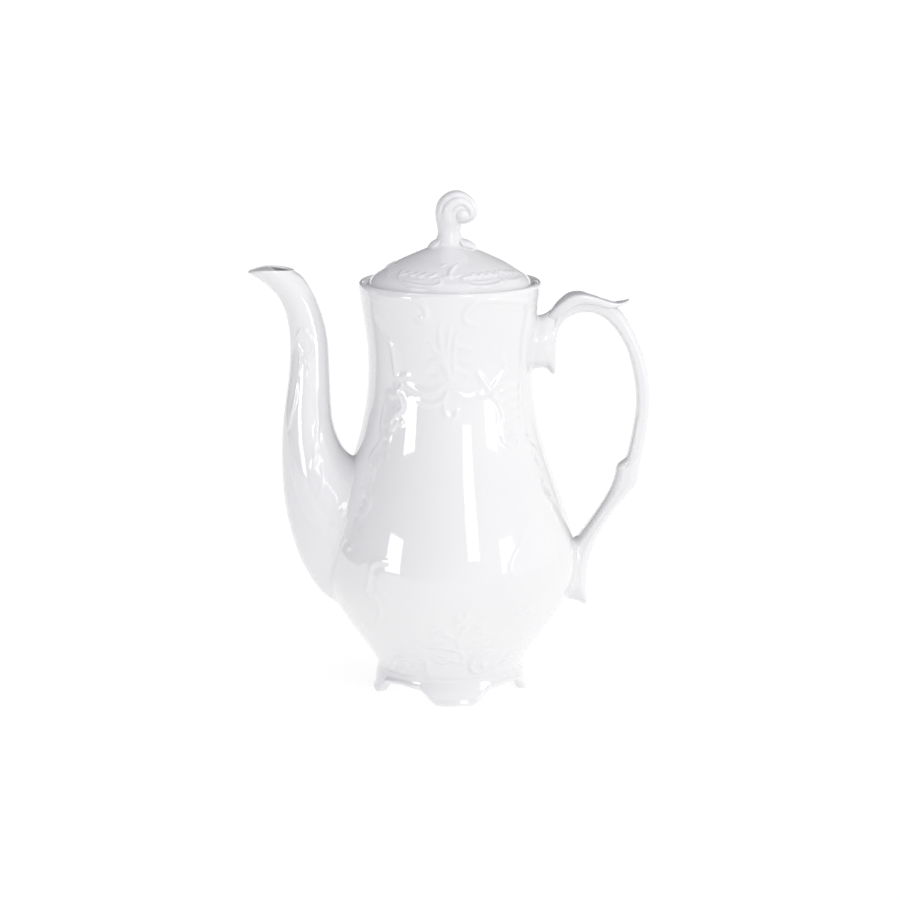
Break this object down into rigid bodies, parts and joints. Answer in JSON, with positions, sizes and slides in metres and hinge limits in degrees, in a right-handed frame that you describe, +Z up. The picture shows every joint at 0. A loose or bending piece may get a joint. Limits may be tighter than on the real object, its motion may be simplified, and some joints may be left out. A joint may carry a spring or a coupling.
{
  "type": "coffee pot",
  "caption": "Tall baluster coffee pot with a swan-neck spout, looped handle, scalloped four-footed base and a lift-off domed lid with a scroll knob.",
  "frame": {"origin": "on the pot's axis, at the plane that its four feet stand on", "axes": "+Z up, +X towards the handle, -X towards the spout, +Y across"},
  "size_m": [0.206, 0.13, 0.26],
  "materials": {
    "glazed_porcelain": "clear gloss glaze over white porcelain",
    "lid_porcelain": "clear gloss glaze over white porcelain"
  },
  "bodies": {
    "pot": {"pot_body": "glazed_porcelain", "foot_skirt": "glazed_porcelain", "spout": "glazed_porcelain", "handle": "glazed_porcelain"},
    "lid": {"lid_cover": "lid_porcelain", "lid_collar": "lid_porcelain", "lid_lock_tab": "lid_porcelain", "lid_knob": "lid_porcelain"}
  },
  "joints": [
    {"name": "lid_lift", "type": "slide", "parent": "pot", "child": "lid", "axis": [0, 0, 1], "range_m": [0, 0.045]}
  ]
}
